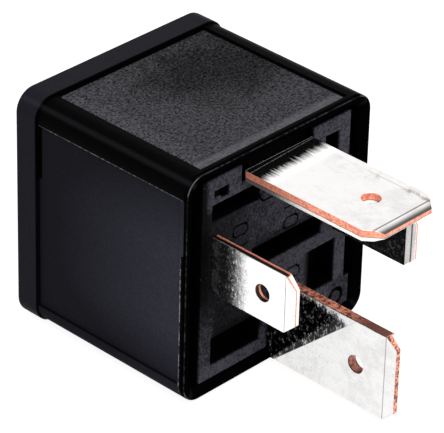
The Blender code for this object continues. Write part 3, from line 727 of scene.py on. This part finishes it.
def cover_sections():
    """The cover's sections in order: up the cavity's wall to the mouth, over the rim, to the closed end."""
    hx, hz, r = BODY_HX, BODY_HZ, CORNER_R
    rings = []

    def add(y, inset, sunk=0.0):
        rings.append(section(y, hx - inset, hz - inset, max(0.35, r - inset), sunk))

    for y, inset in fillet(CAVITY_LEN, CAVITY_LEN - 0.3, WALL + 0.3, WALL, 4):
        add(y, inset)
    add(0.62, WALL)
    add(0.50, WALL)
    add(0.46, WALL - 0.03)
    add(0.08, WALL - 0.42)
    add(0.02, WALL - 0.49)
    add(0.0, WALL - 0.56)
    for y, inset in fillet(0.0, 0.25, 0.25, 0.0, 6):
        add(y, inset)
    add(PANEL_Y0 - 0.1, 0.0)
    for n in range(STEP_POINTS):
        t = n / (STEP_POINTS - 1)
        add(PANEL_Y0 + PANEL_STEP * t, 0.0, smooth(t))
    for n in range(1, FLAT_POINTS + 1):
        add(PANEL_Y0 + PANEL_STEP + (BODY_LEN - 0.1 - PANEL_Y0 - PANEL_STEP) * n / FLAT_POINTS, 0.0, 1.0)
    add(BODY_LEN, 0.0, 1.0)
    hx, hz, r = BAND_HX, BAND_HZ, CORNER_R + 0.2
    for y, inset in fillet(BODY_LEN, BODY_LEN + 0.1, 0.1, 0.0, 4):
        add(y, inset)
    for y, inset in fillet(COVER_LEN - 0.4, COVER_LEN, 0.0, 0.4, 8, True):
        add(y, inset)
    return rings


def build_cover():
    bm = bmesh.new()
    rings = [[bm.verts.new(p) for p in ring] for ring in cover_sections()]
    count = len(rings[0])
    for ring, following in zip(rings, rings[1:]):
        for n in range(count):
            m = (n + 1) % count
            bm.faces.new((ring[n], ring[m], following[m], following[n]))
    bm.faces.new(rings[0])
    bm.faces.new(rings[-1])
    cover = from_bmesh("cover_shell", bm)
    pad = box("pad", -2.5, 2.5, CAVITY_LEN - 1.3, CAVITY_LEN + 0.2, 21.9, 23.2)
    shade(combine(cover, [pad], "UNION"))
    cover.data.materials.append(cover_look())
    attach(cover, "housing")
    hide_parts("cover")


# ---- base ----
def rounded_outline(hx, hz, r, steps=8):
    points = []
    for u, v, turn in ((1, 1, 0), (-1, 1, 1), (-1, -1, 2), (1, -1, 3)):
        for n in range(steps + 1):
            a = math.pi / 2 * (turn + n / steps)
            points.append((u * (hx - r) + r * math.cos(a), MID_Z + v * (hz - r) + r * math.sin(a)))
    return points


def falling(start, end, steps=9):
    """(way, y) pairs down a quarter of an ellipse, from the base's face at a start to a pocket's floor."""
    pairs = []
    for n in range(steps + 1):
        a = math.pi / 2 * n / steps
        y = BASE_FRONT + (POCKET_FLOOR - BASE_FRONT) * (1 - math.cos(a))
        pairs.append((start + (end - start) * math.sin(a), y))
    return pairs


def sloped_slot(name, x0, x1, low, high, lip):
    """Slot cutter whose upper edge falls away in a curve from a lip above it."""
    open_y = BASE_FRONT - 0.5
    outline = [(open_y, low), (open_y, lip)] + [(y, z) for z, y in falling(lip, high)] + [(POCKET_FLOOR, low)]
    return slab(name, outline, "x", x0, x1)


MARK_W = 1.25
MARK_TALL = 2.0
MARK_STEP = 1.85
MARK_STROKE = 0.24
MARK_DEEP = 0.4
MARKS = (("01", -5.1, 17.2), ("20", -1.3, 21.7), ("10", 2.2, 17.0), ("03", 2.7, 8.9))   # text, x and top z


def mark_bars(char):
    """A numeral's strokes as corner points in its cell, in millimetres from its lower left."""
    w, h, c = MARK_W, MARK_TALL, 0.36
    if char == "0":
        return [(c, 0), (w - c, 0), (w, c), (w, h - c), (w - c, h), (c, h), (0, h - c), (0, c), (c, 0)]
    return {"1": [(w / 2, 0), (w / 2, h)],
            "2": [(0, h), (w, h), (w, h / 2), (0, h / 2), (0, 0), (w, 0)],
            "3": [(0, h), (w, h), (w, 0), (0, 0)]}[char]


def mark_cutters(text, x, z):
    """Cutters for engraved numerals that read downwards from z, with their tops towards +X."""
    cutters = []
    half = MARK_STROKE / 2
    for n, char in enumerate(text):
        spots = [(x - MARK_TALL / 2 + v, z - n * MARK_STEP + MARK_W / 2 - u) for u, v in mark_bars(char)]
        for (u0, v0), (u1, v1) in zip(spots, spots[1:]):
            way = Vector((u1 - u0, v1 - v0)).normalized() * half
            side = Vector((-way.y, way.x))
            first, last = Vector((u0, v0)) - way * 0.6, Vector((u1, v1)) + way * 0.6
            outline = [tuple(first + side), tuple(first - side), tuple(last - side), tuple(last + side)]
            floor = BASE_FRONT + MARK_DEEP + 0.003 * len(cutters)   # no two strokes share a floor
            cutters.append(slab("mark", outline, "y", BASE_FRONT - 0.5, floor))
    return cutters


def build_base():
    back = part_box("base")[1].y / MM - RIM_Y
    skirt_top = SKIRT_FRONT + 0.2
    base = box("base_plate", -BASE_HX, BASE_HX, BASE_FRONT, skirt_top, BASE_Z0, BASE_Z1)
    hx, hz = BODY_HX - WALL - 0.05, BODY_HZ - WALL - 0.05
    tab = box("tab", BASE_HX - 0.5, BASE_HX + 0.8, BASE_FRONT + 0.02, skirt_top, BASE_Z0 + 0.09, 4.95)
    combine(base, [slab("skirt", rounded_outline(hx, hz, 0.95), "y", SKIRT_FRONT, back), tab], "UNION")
    open_y, floor = BASE_FRONT - 0.5, POCKET_FLOOR
    cutters = [box("slot", -9.15, -2.4, open_y, floor, 19.65, 21.65)]
    cutters.append(sloped_slot("slot", *SLOT_MIDDLE))
    cutters.append(sloped_slot("slot", *SLOT_LOW))
    cutters.append(box("pocket", 6.9, 9.0, open_y, floor, 19.65, 22.95))
    cutters.append(box("pocket", -7.9, -6.8, open_y, 1.7, 21.95, 23.2))
    cutters.append(box("pocket", -8.9, -7.88, open_y, 0.8, 22.3, 23.2))
    start, bottom_from, end = RAMP_X
    ramp = [(start, open_y), (end, open_y), (end, floor)] + list(reversed(falling(start, bottom_from)))
    cutters.append(slab("ramp", ramp, "z", *RAMP_Z))
    ring_middle = (RING_AT[0], BASE_FRONT, RING_AT[1])
    ring = cylinder("ring", "y", ring_middle, 1.0, RING_R[1])
    cutters.append(combine(ring, [cylinder("core", "y", ring_middle, 2.0, RING_R[0])], "DIFFERENCE"))
    x0, x1, _, _, _, top = blade_box("terminal_load_top")
    bottom = top - LOAD_T
    cutters.append(box("recess", x0 - 0.4, x1 + 0.4, open_y, 1.4, bottom - 0.1, BASE_Z1 + 0.3))
    through = back + 0.5
    cutters.append(box("slit", -3.05, 3.05, open_y, through, bottom - 0.05, top + 0.05))
    x0, x1, *_ = blade_box("terminal_load_bottom")
    cutters.append(box("slit", x0 - 0.05, x1 + 0.05, open_y, through, 1.85, 9.45))
    for word in ("left", "right"):
        x0, x1, _, _, z0, z1 = blade_box("terminal_coil_" + word)
        mid = (z0 + z1) / 2
        cutters.append(box("slit", x0 - 0.05, x1 + 0.05, open_y, through, mid - 1.45, mid + 1.45))
    combine(base, cutters, "DIFFERENCE")
    soften(base, 0.07, 2)
    for text, x, z in MARKS:
        for mark in mark_cutters(text, x, z):
            combine(base, [mark], "DIFFERENCE")
    shade(base)
    dress(base, [base_look()], "base")


def dress(ob, looks, node):
    """Give a detailed piece its materials, and let it stand for a CAD node of the housing."""
    for mat in looks:
        ob.data.materials.append(mat)
    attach(ob, "housing")
    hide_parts(node)
    return ob


def carry(node, mat, edge=0.0):
    """Keep a CAD node's shape under a better material, its edges rounded by a width in millimetres."""
    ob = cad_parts[node]
    for held in ob.material_slots:
        held.material = mat
    if edge > 0:
        weld = ob.modifiers.new("weld", "WELD")
        weld.merge_threshold = 0.001 * MM
        bevel = ob.modifiers.new("edges", "BEVEL")
        bevel.width = edge * MM
        bevel.segments = 2
        bevel.limit_method = "ANGLE"
        bevel.angle_limit = math.radians(50)
        weigh = ob.modifiers.new("weigh", "WEIGHTED_NORMAL")
        weigh.keep_sharp = True


# ---- blades ----
LOAD_T = 1.2
LOAD_HALF = 4.75                             # half the upper blade's width
COIN_TOP = 0.85                              # lengths of the bevels at the tips, flat blade then upright ones
COIN_SIDE = 1.25
END_TOP = 0.22                               # share of the thickness left each side of the middle at the tip
END_SIDE = 0.36
SHOULDER_Y = 0.4                             # where the blades narrow, behind the rim
LOAD_HOLE_R = 1.0
COIL_HOLE_R = 0.95
THROUGH = 8.0                                # length of the cutters for the holes
BLADE_EDGE = 0.05
BLADE_CREASE = 4


def blade_box(node):
    """A blade's box in millimetres, y counted back from the rim."""
    low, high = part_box(node)
    return low.x / MM, high.x / MM, low.y / MM - RIM_Y, high.y / MM - RIM_Y, low.z / MM, high.z / MM


def wedges(axis, middle, thickness, lo, hi, tip, coin, left):
    """Cutters that bevel both faces of a blade over a coined length at its tip."""
    found = []
    for side in (-1, 1):
        edge = middle + side * thickness * left
        face = middle + side * (thickness / 2 + 0.02)
        far = middle + side * (thickness / 2 + 0.5)
        wedge = [(tip - 0.5, edge), (tip, edge), (tip + coin, face), (tip + coin, far), (tip - 0.5, far)]
        if axis == "z":
            wedge = [(across, y) for y, across in wedge]
        found.append(slab("wedge", wedge, axis, lo - 1.0, hi + 1.0))
    return found


def mark_cut_faces(ob, thickness_axis):
    """Second material on the faces that shears made: those that stand square to the blade's faces."""
    for face in ob.data.polygons:
        face.material_index = 1 if abs(face.normal[thickness_axis]) < 0.3 else 0


def build_load_top():
    x0, x1, tip, back, arm_z, top = blade_box("terminal_load_top")
    bottom = top - LOAD_T
    right = [(3.0, back - 0.05), (3.0, SHOULDER_Y), (x1, SHOULDER_Y), (x1, tip + 1.7), (x1 - 1.4, tip)]
    outline = right + [(-x, y) for x, y in reversed(right)]
    blade = slab("load_blade_top", outline, "z", bottom, top)
    combine(blade, [box("arm", -2.6, 2.6, back - 1.2, back, arm_z, top - 0.04)], "UNION")
    cutters = [cylinder("hole", "z", (0.2, -11.5, top), THROUGH, LOAD_HOLE_R)]
    cutters.append(cylinder("hole", "y", (0.0, back, 20.9), THROUGH, 0.85))
    cutters += wedges("x", top - LOAD_T / 2, LOAD_T, x0, x1, tip, COIN_TOP, END_TOP)
    combine(blade, cutters, "DIFFERENCE")
    soften(blade, BLADE_EDGE, crease=BLADE_CREASE)
    mark_cut_faces(blade, 2)
    looks = [tin_look("tin_top", 0.0, tip, COIN_TOP, "upper")]
    looks.append(cut_look("cut_top", "z", bottom + 0.42, metallic=0.5, shadow=0.85))
    dress(blade, looks, "terminal_load_top")


def build_load_bottom():
    x0, x1, tip, back, z0, z1 = blade_box("terminal_load_bottom")
    outline = [(tip + 1.1, z0), (tip, z0 + 1.05), (tip, z1 - 1.05), (tip + 1.1, z1)]
    outline += [(SHOULDER_Y, z1), (SHOULDER_Y, 9.4), (3.7, 9.4), (3.7, 8.15), (back, 8.15), (back, 5.45)]
    outline += [(3.7, 5.45), (3.7, 1.9), (SHOULDER_Y, 1.9), (SHOULDER_Y, 1.66), (-0.03, 1.66), (-0.03, z0)]
    blade = slab("load_blade_bottom", outline, "x", x0, x1)
    middle = (x0 + x1) / 2
    holes = [cylinder("hole", "x", (middle, -11.55, 5.3), THROUGH, LOAD_HOLE_R)]
    combine(blade, holes + wedges("z", middle, x1 - x0, z0, z1, tip, COIN_SIDE, END_SIDE), "DIFFERENCE")
    soften(blade, BLADE_EDGE, crease=BLADE_CREASE)
    mark_cut_faces(blade, 0)
    looks = [tin_look("tin_bottom", middle, tip, COIN_SIDE, "lower")]
    looks.append(cut_look("cut_bottom", "x", x0 + 0.1, 0.06, dull=0.93, tip=tip, split=0.15))
    dress(blade, looks, "terminal_load_bottom")


def build_coil_blade(word):
    node = "terminal_coil_" + word
    x0, x1, tip, back, z0, z1 = blade_box(node)
    mid = (z0 + z1) / 2
    outline = [(tip + 1.3, z0), (tip, z0 + 1.2), (tip, z1 - 1.2), (tip + 1.3, z1), (SHOULDER_Y, z1)]
    outline += [(SHOULDER_Y, mid + 1.4), (back, mid + 1.4), (back, mid - 1.4), (SHOULDER_Y, mid - 1.4)]
    outline.append((SHOULDER_Y, z0))
    blade = slab("coil_blade_" + word, outline, "x", x0, x1)
    middle = (x0 + x1) / 2
    holes = [cylinder("hole", "x", (middle, -6.35, mid - 0.05), THROUGH, COIL_HOLE_R)]
    combine(blade, holes + wedges("z", middle, x1 - x0, z0, z1, tip, COIN_SIDE, END_SIDE), "DIFFERENCE")
    soften(blade, BLADE_EDGE, crease=BLADE_CREASE)
    mark_cut_faces(blade, 0)
    looks = [tin_look("tin_coil_" + word, middle, tip, COIN_SIDE, "near" if word == "left" else "far")]
    looks.append(cut_look("cut_coil_" + word, "x", x0 + 0.29, 0.25, 0.65, tip=tip, split=-0.12))
    dress(blade, looks, node)


BOBBIN_EDGE = 0.08                           # how far the edges of the pieces inside are rounded
IRON_EDGE = 0.06
RIVET_EDGE = 0.04


def dress_inside():
    """Stuffs of the pieces inside, which keep their CAD shapes."""
    iron = plain_look("zinc_plated_iron", (0.62, 0.61, 0.57), (0.50, 0.49, 0.45), 1.0, 0.34, 1.5)
    brushed = (1.0, 6.0, 1.0)
    bronze = plain_look("spring_bronze", (0.76, 0.50, 0.28), (0.66, 0.42, 0.22), 1.0, 0.24, 1.0, brushed)
    silver = plain_look("contact_silver", (0.88, 0.87, 0.84), (0.74, 0.73, 0.71), 1.0, 0.22, 2.5)
    tinned = plain_look("tinned_wire", (0.84, 0.83, 0.81), (0.70, 0.69, 0.68), 1.0, 0.24, 3.0)
    enamel = plain_look("wire_enamel", (0.58, 0.17, 0.06), (0.44, 0.11, 0.04), 0.6, 0.3, 6.0)
    nylon = plain_look("bobbin_nylon", (0.74, 0.71, 0.62), (0.66, 0.63, 0.54), 0.0, 0.45, 0.8)
    tape = plain_look("polyester_tape", (0.80, 0.55, 0.08), (0.70, 0.46, 0.06), 0.0, 0.28, 0.5)
    lacquer = plain_look("resistor_lacquer", (0.32, 0.50, 0.56), (0.26, 0.43, 0.50), 0.0, 0.25, 1.2)
    carry("bobbin", nylon, BOBBIN_EDGE)
    carry("coil_tape", tape)
    carry("resistor_body", lacquer)
    carry("coil_winding", enamel)
    for word in ("left", "right"):
        carry("coil_wire_" + word, enamel)
        carry("resistor_lead_" + word, tinned)
    for node in ("core", "yoke", "yoke_rivet_front", "yoke_rivet_rear", "armature"):
        carry(node, iron, IRON_EDGE)
    for node in ("armature_rivet_low", "armature_rivet_high"):
        carry(node, iron, RIVET_EDGE)
    for node in ("return_leaf", "contact_spring"):
        carry(node, bronze)
    for node in ("fixed_contact", "moving_contact"):
        carry(node, silver)


# ---- stage ----
def build_stage():
    bm = bmesh.new()
    bmesh.ops.create_grid(bm, x_segments=1, y_segments=1, size=2.0)
    floor = from_bmesh("floor", bm)
    look = Look("floor_white", (0.2, 0.2, 0.2), 0.0, 0.9)
    look.shader.inputs["Specular IOR Level"].default_value = 0.0
    look.shader.inputs["Emission Color"].default_value = (1.0, 1.0, 1.0, 1.0)
    look.shader.inputs["Emission Strength"].default_value = 0.9
    floor.data.materials.append(look.mat)
    world = bpy.data.worlds.new("studio")
    bpy.context.scene.world = world
    world.use_nodes = True
    back = world.node_tree.nodes["Background"]
    back.inputs["Color"].default_value = (1.0, 1.0, 1.0, 1.0)
    back.inputs["Strength"].default_value = 1.0


def add_light(name, azimuth, elevation, distance, size, power):
    """A square soft box that looks at the relay from one direction."""
    data = bpy.data.lights.new(name, "AREA")
    data.shape = "SQUARE"
    data.size = size
    data.energy = power
    light = bpy.data.objects.new(name, data)
    bpy.context.scene.collection.objects.link(light)
    a, e = math.radians(azimuth), math.radians(elevation)
    back = Vector((math.sin(a) * math.cos(e), -math.cos(a) * math.cos(e), math.sin(e)))
    light.location = Vector((0, 0, MID_Z * MM)) + back * distance
    light.rotation_mode = "QUATERNION"
    light.rotation_quaternion = (-back).to_track_quat("-Z", "Y")


def build_camera():
    data = bpy.data.cameras.new("camera")
    data.lens = CAMERA_LENS
    data.sensor_width = CAMERA_SENSOR
    data.clip_start = 0.01
    data.clip_end = 20.0
    camera = bpy.data.objects.new("camera", data)
    bpy.context.scene.collection.objects.link(camera)
    a, e = math.radians(CAMERA_AZIMUTH), math.radians(CAMERA_ELEVATION)
    back = Vector((math.sin(a) * math.cos(e), -math.cos(a) * math.cos(e), math.sin(e)))
    camera.location = (CAD_LOW + CAD_HIGH) / 2 + CAMERA_AIM + back * CAMERA_DISTANCE
    camera.rotation_mode = "QUATERNION"
    level = (-back).to_track_quat("-Z", "Y")
    camera.rotation_quaternion = Quaternion(-back, math.radians(CAMERA_ROLL)) @ level
    bpy.context.scene.camera = camera
    bpy.context.scene.view_settings.view_transform = "Standard"


build_camera()
build_stage()
add_light("key", azimuth=-20, elevation=70, distance=0.8, size=0.8, power=6.0)
build_cover()
build_base()
build_load_top()
build_load_bottom()
build_coil_blade("left")
build_coil_blade("right")
dress_inside()
